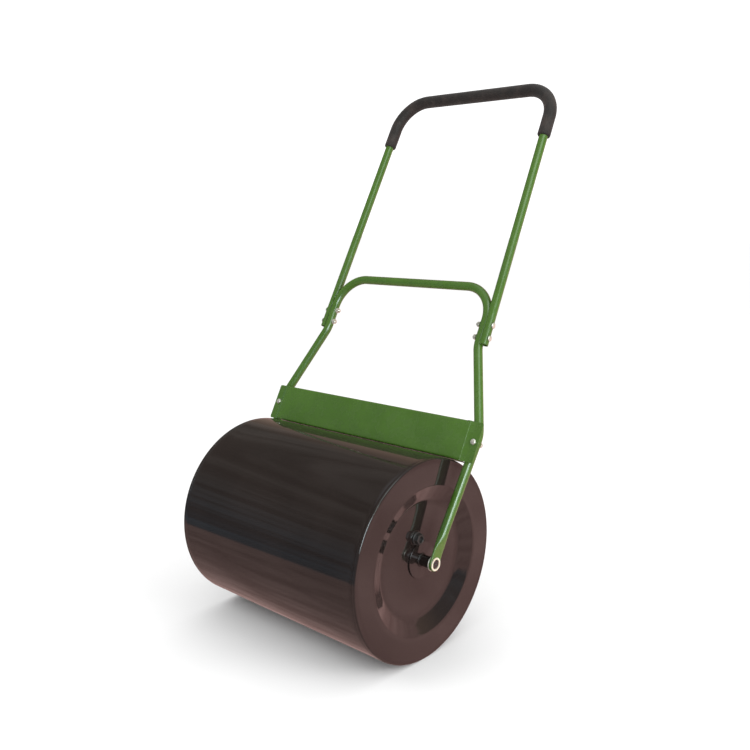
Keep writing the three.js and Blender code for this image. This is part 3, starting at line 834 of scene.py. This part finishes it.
def leg_path(heights):
    """The lower frame's line: up the leg, through the S-bend to the upright, and over the crossbar."""
    straight = [(EYE_X, height) for height in heights]
    bends = [
        (*LEG_KNEE, LEG_BEND_RADIUS),
        (*LEG_SHOULDER, LEG_BEND_RADIUS),
        (LEG_SHOULDER[0], CROSSBAR_HEIGHT, CROSSBAR_BEND_RADIUS),
        (0, CROSSBAR_HEIGHT),
    ]
    return mirrored(bent_path(straight + bends)[:-1])


EYE_TIP = -EYE_HALF_WIDTH
TIP_HEIGHTS = [EYE_TIP * math.cos(math.radians(degrees)) for degrees in range(4, 90, 6)]
FLATTENED_HEIGHTS = even_heights(0, EYE_ROUND_START, 0.002)
FRAME_PATH = leg_path(TIP_HEIGHTS + FLATTENED_HEIGHTS)


def leg_outline(height, wall, sides):
    """The tube's section, pressed flat round the eye and rounded off below it."""
    flat = 1 - smoothstep(height, EYE_FLAT_END, EYE_ROUND_START)
    tip = math.sqrt(max(1 - (height / EYE_HALF_WIDTH) ** 2, 0)) if height < 0 else 1
    half_thickness = lerp(TUBE_RADIUS, EYE_HALF_THICKNESS, flat) - wall
    half_width = lerp(TUBE_RADIUS, EYE_HALF_WIDTH, flat) * tip - wall
    return outline_ring(half_thickness, half_width, sides, lerp(2, 5, flat))


def leg_rings(path, wall, sides):
    return [ring_at(station, leg_outline(station[0].y, wall, sides)) for station in path]


def lower_frame():
    """One bent tube with flattened, drilled ends."""
    tube = lofted("bent_frame_tube", leg_rings(FRAME_PATH, 0, 48))
    bore_path = leg_path(even_heights(EYE_FLAT_END, EYE_ROUND_START, 0.004))
    bore = lofted("bore", leg_rings(bore_path, TUBE_WALL, 32))
    reach = EYE_X + TUBE_RADIUS
    inner = EYE_X - EYE_HALF_THICKNESS - 0.0001
    outer = EYE_X + EYE_HALF_THICKNESS + 0.0001
    eyes = [drill(*ends, EYE_HOLE_RADIUS, 0.0005, 96) for ends in ((inner, outer), (-outer, -inner))]
    cut(tube, bore, *eyes, *handle_drills(reach), *panel_drills())
    healed(tube)
    tube.data.transform(TO_FRAME)
    stands_for(tube, "lower_frame", SHARP_TUBE)


def bolt_drill(reach, matrix):
    tool = drill(-reach, reach, BOLT_HOLE_RADIUS, 0, 32)
    tool.data.transform(matrix)
    return tool


def handle_drills(reach):
    return [bolt_drill(reach, Matrix.Translation((0, 0, height))) for _, height in HANDLE_BOLT_HEIGHTS]


def at_panel_bolt(sign):
    """The place where a panel bolt goes through the middle of the leg."""
    low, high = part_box("panel_bolt_right")
    return Matrix.Translation((sign * (low.x + high.x) / 2, 0, PANEL_BOLT_HEIGHT))


def panel_drills():
    reach = PANEL_FACE_FORWARD + TUBE_RADIUS
    across = Matrix.Rotation(math.pi / 2, 4, "Z")
    return [bolt_drill(reach, at_panel_bolt(sign) @ across) for sign in (1, -1)]


def nearest_on_path(place, path):
    best = path[0][0]
    for (start, _), (end, _) in zip(path, path[1:]):
        step = end - start
        if step.length < 1e-9:
            continue
        share = min(max((place - start).dot(step) / step.length_squared, 0), 1)
        candidate = start + step * share
        if (candidate - place).length < (best - place).length:
            best = candidate
    return best


def crushed(ring, path, keep):
    """Moves a ring's points away from a tube's line until they are at least keep from it."""
    moved = []
    for point in ring:
        place = Vector((point.x, point.z))
        nearest = nearest_on_path(place, path)
        reach = place - nearest
        needed = math.sqrt(max(keep**2 - point.y**2, 0))
        if reach.length < needed:
            place = nearest + reach.normalized() * needed
        moved.append(Vector((place.x, point.y, place.y)))
    return moved


def handle_x(height):
    share = (height - HANDLE_FOOT[1]) / (HANDLE_TOP[1] - HANDLE_FOOT[1])
    return lerp(HANDLE_FOOT[0], HANDLE_TOP[0], share)


def handle_path(heights, step=FINE_ARC):
    upright = [(handle_x(height), height) for height in heights]
    return mirrored(bent_path(upright + [(*HANDLE_TOP, HANDLE_BEND_RADIUS), (0, HANDLE_TOP[1])], step)[:-1])


UPRIGHT_PATH = [station for station in FRAME_PATH if station[0].x > 0 and station[0].y > LEG_KNEE[1]]


def crushed_rings(path, radius, sides, keep):
    """Round rings, crushed where the right-hand or left-hand upright is in the way."""
    outline = outline_ring(radius, radius, sides)
    left_path = [(Vector((-point.x, point.y)), along) for point, along in UPRIGHT_PATH]
    rings = []
    for station in path:
        ring = ring_at(station, outline)
        if station[0].y < CRUSH_END_HEIGHT + TUBE_RADIUS:
            ring = crushed(ring, UPRIGHT_PATH if station[0].x > 0 else left_path, keep)
        rings.append(ring)
    return rings


def push_handle():
    """The upper U of tube, crushed at its feet to sit against the uprights."""
    path = handle_path(even_heights(HANDLE_FOOT[1], CRUSH_END_HEIGHT, 0.003))
    keep = TUBE_RADIUS + TOUCH_GAP
    outer = crushed_rings(path, TUBE_RADIUS, 48, keep)
    inner = crushed_rings(path, TUBE_RADIUS - TUBE_WALL, 48, keep + TUBE_WALL)
    tube = sleeve("bent_handle_tube", outer, inner)
    cut(tube, *handle_drills(HANDLE_FOOT[0] + 2 * TUBE_RADIUS))
    healed(tube)
    tube.data.transform(TO_FRAME)
    stands_for(tube, "push_handle", SHARP_TUBE)


# ---- foam grip

GRIP_SPACING = 0.003
GRIP_SIDES = 72
GRIP_PORE_DEPTH = 0.00022
GRIP_SWELL_SCALE = 55
GRIP_PORE_SCALE = 260
GRIP_CREASE_DEPTH = 0.0005
GRIP_CREASE_LENGTH = 0.0085


def bend_share(station):
    """How far a station is into the handle's bend: 0 on the straights."""
    _, along = station
    return 4 * abs(along.x * along.y)


def grip_outline(station, radius, run):
    """A section of foam: a little uneven, and creased on the inside of the bends."""
    points = []
    for outward, forward in outline_ring(1, 1, GRIP_SIDES):
        place = Vector((station[0].x, forward * GRIP_RADIUS, station[0].y + outward * GRIP_RADIUS))
        uneven = GRIP_PORE_DEPTH * (0.5 + 0.5 * noise.noise(place * GRIP_SWELL_SCALE))
        uneven += GRIP_PORE_DEPTH * 0.5 * (0.5 + 0.5 * noise.noise(place * GRIP_PORE_SCALE))
        inside = max(-outward, 0) ** 2
        crease = 0.5 + 0.5 * math.cos(2 * math.pi * run / GRIP_CREASE_LENGTH)
        uneven += GRIP_CREASE_DEPTH * inside * crease**3 * min(bend_share(station), 1)
        reach = radius - uneven
        points.append((outward * reach, forward * reach))
    return points


def foam_grip():
    """A foam sleeve over the handle's top, stretched round both bends."""
    ends = []
    for degrees in range(0, 91, 15):
        angle = math.radians(degrees)
        height = GRIP_END_HEIGHT + GRIP_END_ROUNDING * (1 - math.cos(angle))
        ends.append((height, GRIP_END_ROUNDING * (1 - math.sin(angle))))
    heights = [height for height, _ in ends]
    straight = even_heights(heights[-1], HANDLE_TOP[1] - HANDLE_BEND_RADIUS - 0.003, GRIP_SPACING)
    half = handle_path(heights + straight[1:], math.radians(2))
    half = [station for station in half if station[0].x > 0]
    top_places = even_heights(0, half[-1][0].x, GRIP_SPACING)[-2:0:-1]
    half += [(Vector((x, HANDLE_TOP[1])), Vector((-1, 0))) for x in top_places]
    path = mirrored(half)
    last = len(path) - 1
    outer, inner, run = [], [], 0.0
    bore = outline_ring(GRIP_BORE, GRIP_BORE, GRIP_SIDES)
    for i, station in enumerate(path):
        if i:
            run += (station[0] - path[i - 1][0]).length
        nearest_end = min(i, last - i, len(ends) - 1)
        radius = GRIP_RADIUS - ends[nearest_end][1]
        outer.append(ring_at(station, grip_outline(station, radius, run)))
        inner.append(ring_at(station, bore))
    grip = sleeve("foam_sleeve", outer, inner, TO_FRAME)
    stands_for(grip, "foam_grip", SHARP_FOAM)


# ---- scraper panel

FOLD_RADIUS = 0.0032  # of the sheet's middle
EAR_CORNER_RADIUS = 0.004
FOLD_RELIEF = 0.0015


def panel_plan():
    """The middle of the sheet seen from above, as (x, forward) from one end to the other."""
    face = PANEL_FACE_FORWARD - PANEL_SHEET / 2
    ear = TUBE_RADIUS + TOUCH_GAP + PANEL_SHEET / 2
    joggle = [(JOGGLE_START, face, JOGGLE_ROUNDING), (EAR_START, ear, JOGGLE_ROUNDING)]
    right = rounded([(0, face, 0), *joggle, (PANEL_HALF_LENGTH, ear, 0)])
    fine = [(point.x, point.y) for point in right]
    extra = even_heights(0, 0.25, 0.01)
    for half in (LIP_TOP_HALF_LENGTH, LIP_BOTTOM_HALF_LENGTH):
        extra += [half, half + FOLD_RELIEF]
    fine += [(x, face) for x in extra if x > 0]
    start = PANEL_HALF_LENGTH - EAR_CORNER_RADIUS
    fine += [(x, ear) for x in even_heights(start, PANEL_HALF_LENGTH, 0.0005)]
    fine = sorted({(round(x, 7), round(forward, 7)) for x, forward in fine})
    return [(-x, forward) for x, forward in fine[:0:-1]] + fine


def panel_rows():
    """Rows up the sheet: (height, distance back, height off the lips or None on a lip's flat, lip). Lip is
    -1 in the bottom lip, 1 in the top one and 0 between them."""
    edge = PANEL_SHEET / 2
    sides = {}
    lips = ((PANEL_BOTTOM, -1, BOTTOM_LIP_BACK_FORWARD), (PANEL_TOP, 1, TOP_LIP_BACK_FORWARD))
    for end, lip, back_forward in lips:
        middle = end - lip * edge
        tangent = middle - lip * FOLD_RADIUS
        rows = [(tangent, 0.0, tangent, 0)]
        for degrees in range(15, 91, 15):
            along = math.sin(math.radians(degrees))
            back = 1 - math.cos(math.radians(degrees))
            height = tangent + lip * FOLD_RADIUS * along
            rows.append((height, FOLD_RADIUS * back, lerp(tangent, end, along), lip))
        depth = PANEL_FACE_FORWARD - edge - back_forward
        rows += [(middle, back, None, lip) for back in even_heights(FOLD_RADIUS, depth, 0.002)[1:]]
        sides[lip] = rows
    low, high = sides[-1][0][0], sides[1][0][0]
    between = [(height, 0.0, height, 0) for height in even_heights(low, high, 0.004)[1:-1]]
    return sides[-1][::-1] + between + sides[1]


def ear_height(x, height):
    """Draws the sheet's last columns in, so that the ears have rounded corners."""
    across = min(max(abs(x) - (PANEL_HALF_LENGTH - EAR_CORNER_RADIUS), 0), EAR_CORNER_RADIUS)
    drop = EAR_CORNER_RADIUS - math.sqrt(EAR_CORNER_RADIUS**2 - across**2)
    middle, half = (PANEL_BOTTOM + PANEL_TOP) / 2, (PANEL_TOP - PANEL_BOTTOM) / 2
    return middle + (height - middle) * (1 - drop / half)


def panel_surface():
    """The middle of the folded sheet, as points and quads. A slit parts each lip's ends from the ears."""
    lip_half = {-1: LIP_BOTTOM_HALF_LENGTH, 1: LIP_TOP_HALF_LENGTH}
    plan, rows = panel_plan(), panel_rows()
    points, index, faces = [], {}, []

    def in_lip(x, lip):
        return lip != 0 and abs(x) <= lip_half[lip] + TINY

    for r, (height, back, plain_height, lip) in enumerate(rows):
        for c, (x, forward) in enumerate(plan):
            folded = in_lip(x, lip)
            if not folded and plain_height is None:
                continue
            index[r, c] = len(points)
            if folded:
                points.append((x, back - forward, height))
            else:
                points.append((x, -forward, ear_height(x, plain_height)))
    for r, (row, above) in enumerate(zip(rows, rows[1:])):
        lip = row[3] or above[3]
        for c, (left, right) in enumerate(zip(plan, plan[1:])):
            corners = [(r, c), (r, c + 1), (r + 1, c + 1), (r + 1, c)]
            whole = all(corner in index for corner in corners)
            if whole and in_lip(left[0], lip) == in_lip(right[0], lip):
                faces.append(tuple(index[corner] for corner in corners))
    return points, faces


def scraper_panel():
    """A folded sheet: long face, stepped ears, and a lip along the top and the bottom."""
    sheet = mesh_object("folded_panel", *panel_surface())
    solid = sheet.modifiers.new("solid", "SOLIDIFY")
    solid.thickness = PANEL_SHEET
    solid.offset = 0
    applied(sheet)
    cut(sheet, *panel_drills())
    bevelled(sheet, SMALL_EDGE, 2, 50)
    sheet.data.transform(TO_FRAME)
    stands_for(sheet, "scraper_panel", SHARP_TUBE)


# ---- fasteners, along X: the surface they bear on is x = 0 and the head is at x > 0

def thread_row(x, start):
    """A section of a screw thread that runs out towards start."""
    def row(angle):
        phase = (x / THREAD_PITCH - angle / (2 * math.pi)) % 1
        crest = min(1, 1.3 * (1 - abs(2 * phase - 1)))
        depth = THREAD_DEPTH * smoothstep(start - x, 0, THREAD_PITCH)
        return x, BOLT_RADIUS - depth * (1 - crest)

    return row


def dome_bolt(name, length):
    """A cup-head bolt with a rolled thread."""
    start = BOLT_THREAD_LENGTH - length
    rows = [(-length, POLE_RADIUS), (-length, BOLT_RADIUS - BOLT_POINT)]
    rows += [thread_row(x, start) for x in even_heights(BOLT_POINT - length, start, THREAD_PITCH / 8)]
    rows += [(-0.0002, BOLT_RADIUS), (0, BOLT_RADIUS + 0.0002), (0, BOLT_HEAD_RADIUS - 0.0003)]
    rows += [(0.0001, BOLT_HEAD_RADIUS - 0.0001), (0.0003, BOLT_HEAD_RADIUS)]
    for degrees in range(0, 90, 9):
        angle = math.radians(degrees)
        rise = (BOLT_HEAD_HEIGHT - BOLT_HEAD_RIM) * math.sin(angle)
        rows.append((BOLT_HEAD_RIM + rise, BOLT_HEAD_RADIUS * math.cos(angle) ** 0.9))
    rows.append((BOLT_HEAD_HEIGHT, POLE_RADIUS))
    return revolved(name, rows, 40, closed=False)


def hexagon_nut(name):
    """A nut chamfered on both faces."""
    chamfer = NUT_FLATS / 2 - 0.0001

    def side(at_top):
        def row(angle):
            radius = hexagon_radius(NUT_FLATS, angle)
            drop = (radius - chamfer) * NUT_CHAMFER_SLOPE
            return (NUT_HEIGHT - drop if at_top else drop), radius

        return row

    bore, lead = BOLT_HOLE_RADIUS, 0.0005
    rows = [
        (lead, bore),
        (0, bore + lead),
        (0, chamfer - 0.0003),
        side(False),
        side(True),
        (NUT_HEIGHT, chamfer - 0.0003),
        (NUT_HEIGHT, bore + lead),
        (NUT_HEIGHT - lead, bore),
    ]
    return revolved(name, rows, ROUND_SEGMENTS)


def plain_washer(name):
    rows = ring_section(0, WASHER_THICKNESS, BOLT_HOLE_RADIUS, WASHER_RADIUS, 0.0002)
    return revolved(name, rows, ROUND_SEGMENTS // 2)


def fastener_set(kind, suffix, length, seat, washer_seat, matrix):
    """A bolt whose head sits at seat, and a washer and nut that bear on washer_seat from the other side."""
    washer_x = washer_seat - WASHER_THICKNESS
    pieces = (
        (dome_bolt(f"cup_bolt_{kind}_{suffix}", length), "bolt", seat),
        (plain_washer(f"flat_washer_{kind}_{suffix}"), "washer", washer_x),
        (hexagon_nut(f"hex_nut_{kind}_{suffix}"), "nut", washer_x - TOUCH_GAP - NUT_HEIGHT),
    )
    for piece, part, x in pieces:
        piece.data.transform(matrix @ Matrix.Translation((x, 0, 0)))
        stands_for(piece, f"{kind}_{part}_{suffix}", SHARP_CRISP)


def all_fasteners():
    for side, sign in SIDES:
        forward = Matrix.Rotation(-math.pi / 2, 4, "Z")
        at_panel = TO_FRAME @ at_panel_bolt(sign) @ forward
        seat = TUBE_RADIUS + 2 * TOUCH_GAP + PANEL_SHEET
        fastener_set("panel", side, PANEL_BOLT_LENGTH, seat, -TUBE_RADIUS - TOUCH_GAP, at_panel)
        for level, height in HANDLE_BOLT_HEIGHTS:
            at_handle = TO_FRAME @ side_matrix(sign) @ Matrix.Translation((0, 0, height))
            seat = handle_x(height) + TUBE_RADIUS + TOUCH_GAP
            washer_seat = LEG_SHOULDER[0] - TUBE_RADIUS - TOUCH_GAP
            fastener_set("handle", f"{side}_{level}", HANDLE_BOLT_LENGTH, seat, washer_seat, at_handle)


# ---- studio

SURROUND_STRENGTH = 1.25
FRONT_FLOOR = ((0.38, 0.235, 0.215), (0.58, 0.385, 0.355))  # darker and paler boards
BACK_FLOOR = ((0.72, 0.39, 0.36), (1.1, 0.66, 0.61))
FRONT_WALL_LOW = ((0.03, 0.06, 0.08), (0.10, 0.20, 0.27))
FRONT_WALL_HIGH = ((0.12, 0.11, 0.09), (0.28, 0.26, 0.23))
BACK_WALL = (0.44, 0.30, 0.22)
CEILING = (0.6, 0.62, 0.65)
EDGE_HALF = 0.012  # this and the next three are sines of the height above the horizon
FRONT_FLOOR_EDGE = -0.29
BACK_FLOOR_EDGE = 0.12
FRONT_WALL_FULL = 0.65
CEILING_START, CEILING_FULL = 0.76, 0.92
BACK_WALL_START, BACK_WALL_FULL = 0.4, 0.75  # from here on these are shares of a direction's length
BACK_FLOOR_START, BACK_FLOOR_FULL = 0.3, 1.0
EDGE_RISE_START, EDGE_RISE_FULL = -0.6, 0.7
SHELF_NOISE = (2.0, 2.0, 16.0)
BOARD_NOISE = (13.0, 13.0, 13.0)
FLOOR_HALF_WIDTH = 40
WHITE = (1, 1, 1)
LIGHTS = {  # the place, what it faces, the size, the power, the colour and the rays that meet it
    "key": ((-1.2, -2.4, 2.8), (0, 0, 0.4), (1.6, 1.6), 27, WHITE, "diffuse"),
    "end_fill": ((3.1, 0.5, 1.3), (0.25, 0, 0.3), (1.8, 1.8), 60, WHITE, "diffuse"),
    "window": ((2.45, -1.65, 1.35), (0.2, 0, 0.25), (1.2, 1.5), 70, (0.82, 0.93, 1.0), "gloss"),
    "doorway": ((2.5, -0.5, 0.95), (0.28, 0, 0.3), (0.4, 1.7), 16, (0.85, 1.0, 0.92), "gloss"),
    "skylight": ((1.75, -0.25, 2.95), (0.2, 0.4, 0.9), (1.8, 1.8), 26, (0.86, 1.0, 0.93), "gloss"),
}

CAMERA_LENS, CAMERA_SENSOR = 41.07, 36
CAMERA_PLACE = Vector((1.2328, -1.2194, AXLE_HEIGHT + 0.6427))
CAMERA_AZIMUTH, CAMERA_ELEVATION, CAMERA_ROLL = (math.radians(angle) for angle in (42.42, 10.10, 0.06))


def floor_paper(tree):
    two_tone(tree, patches(tree, (3, 3, 0.5), NOISE_LOW, NOISE_HIGH), (0.80, 0.80, 0.80), (0.82, 0.82, 0.82))


def studio_floor():
    far = FLOOR_HALF_WIDTH
    corners = [(-far, -far, 0), (far, -far, 0), (far, far, 0), (-far, far, 0)]
    floor = mesh_object("floor", corners, [(0, 1, 2, 3)])
    floor.data.materials.append(make_material(floor_paper, Roughness=0.9, Specular_IOR_Level=0.0))
    floor.visible_glossy = False  # gloss sees the room below the horizon in its place


def softbox(name, place, target, size, power, colour, seen_by):
    light = bpy.data.lights.new(name, "AREA")
    light.shape = "RECTANGLE"
    light.size, light.size_y = size
    light.energy = power
    light.color = colour
    box = bpy.data.objects.new(name, light)
    box.location = place
    box.rotation_euler = (Vector(target) - box.location).to_track_quat("-Z", "Y").to_euler()
    box.visible_camera = False
    box.visible_glossy = seen_by != "diffuse"
    box.visible_diffuse = seen_by != "gloss"
    bpy.context.scene.collection.objects.link(box)


def room_noise(tree, direction, scale):
    vector = add_node(tree, "ShaderNodeMapping", Vector=direction, Scale=scale).outputs[0]
    return add_node(tree, "ShaderNodeTexNoise", Vector=vector, Scale=1.0, Detail=4.0).outputs[0]


def room_walls(tree, direction, axes):
    back_wall = ranged(tree, axes["Y"], BACK_WALL_START, BACK_WALL_FULL)
    shelf = ranged(tree, room_noise(tree, direction, SHELF_NOISE), 0.35, 0.65)
    height = ranged(tree, axes["Z"], FRONT_FLOOR_EDGE, FRONT_WALL_FULL)
    front = mixed(tree, height, mixed(tree, shelf, *FRONT_WALL_LOW), mixed(tree, shelf, *FRONT_WALL_HIGH))
    above = ranged(tree, axes["Z"], CEILING_START, CEILING_FULL)
    return mixed(tree, above, mixed(tree, back_wall, front, BACK_WALL), CEILING)


def room_floor(tree, direction, axes):
    board = ranged(tree, room_noise(tree, direction, BOARD_NOISE), NOISE_LOW, NOISE_HIGH)
    rightward = summed(tree, "ADD", axes["X"], axes["Y"])
    back = ranged(tree, rightward, BACK_FLOOR_START, BACK_FLOOR_FULL)
    return mixed(tree, back, mixed(tree, board, *FRONT_FLOOR), mixed(tree, board, *BACK_FLOOR))


def room_colour(tree):
    """The dim room that gloss sees: walls and ceiling over a horizon that rises to the back."""
    direction = add_node(tree, "ShaderNodeTexCoord").outputs["Generated"]
    axes = add_node(tree, "ShaderNodeSeparateXYZ", Vector=direction).outputs
    rise = (EDGE_RISE_START, EDGE_RISE_FULL)
    edge = ranged(tree, axes["Y"], *rise, FRONT_FLOOR_EDGE, BACK_FLOOR_EDGE)
    below = ranged(tree, summed(tree, "SUBTRACT", axes["Z"], edge), EDGE_HALF, -EDGE_HALF)
    return mixed(tree, below, room_walls(tree, direction, axes), room_floor(tree, direction, axes))


def studio_world():
    """An even white surround, which gloss paint sees as a dim room."""
    world = bpy.data.worlds.new("studio")
    world.use_nodes = True
    tree = world.node_tree
    surround = tree.nodes["Background"]
    surround.inputs["Color"].default_value = (1, 1, 1, 1)
    surround.inputs["Strength"].default_value = SURROUND_STRENGTH
    room = add_node(tree, "ShaderNodeBackground", Color=room_colour(tree))
    is_gloss = add_node(tree, "ShaderNodeLightPath").outputs["Is Glossy Ray"]
    choice = add_node(tree, "ShaderNodeMixShader")
    for output, socket in zip((is_gloss, surround.outputs[0], room.outputs[0]), choice.inputs):
        tree.links.new(output, socket)
    tree.links.new(choice.outputs[0], tree.nodes["World Output"].inputs["Surface"])
    bpy.context.scene.world = world


def camera():
    """The camera at the photograph's viewing angle."""
    data = bpy.data.cameras.new("camera")
    data.lens = CAMERA_LENS
    data.sensor_width = CAMERA_SENSOR
    obj = bpy.data.objects.new("camera", data)
    level = math.cos(CAMERA_ELEVATION)
    towards = Vector((
        -math.sin(CAMERA_AZIMUTH) * level,
        math.cos(CAMERA_AZIMUTH) * level,
        -math.sin(CAMERA_ELEVATION),
    ))
    turned = towards.to_track_quat("-Z", "Y").to_matrix().to_4x4()
    obj.matrix_world = Matrix.Translation(CAMERA_PLACE) @ turned @ Matrix.Rotation(CAMERA_ROLL, 4, "Z")
    bpy.context.scene.collection.objects.link(obj)
    bpy.context.scene.camera = obj


def main():
    camera()
    drum_shell()
    axle_rod()
    for side, sign in SIDES:
        for part in (end_plate, hub_boss, axle_bush, thrust_washer):
            part(side, TO_AXLE @ side_matrix(sign))
    filler_neck()
    filler_plug()
    filler_seal()
    lower_frame()
    push_handle()
    foam_grip()
    scraper_panel()
    all_fasteners()
    studio_floor()
    studio_world()
    for name, setting in LIGHTS.items():
        softbox(name, *setting)
    bpy.context.scene.view_settings.view_transform = "Standard"


main()
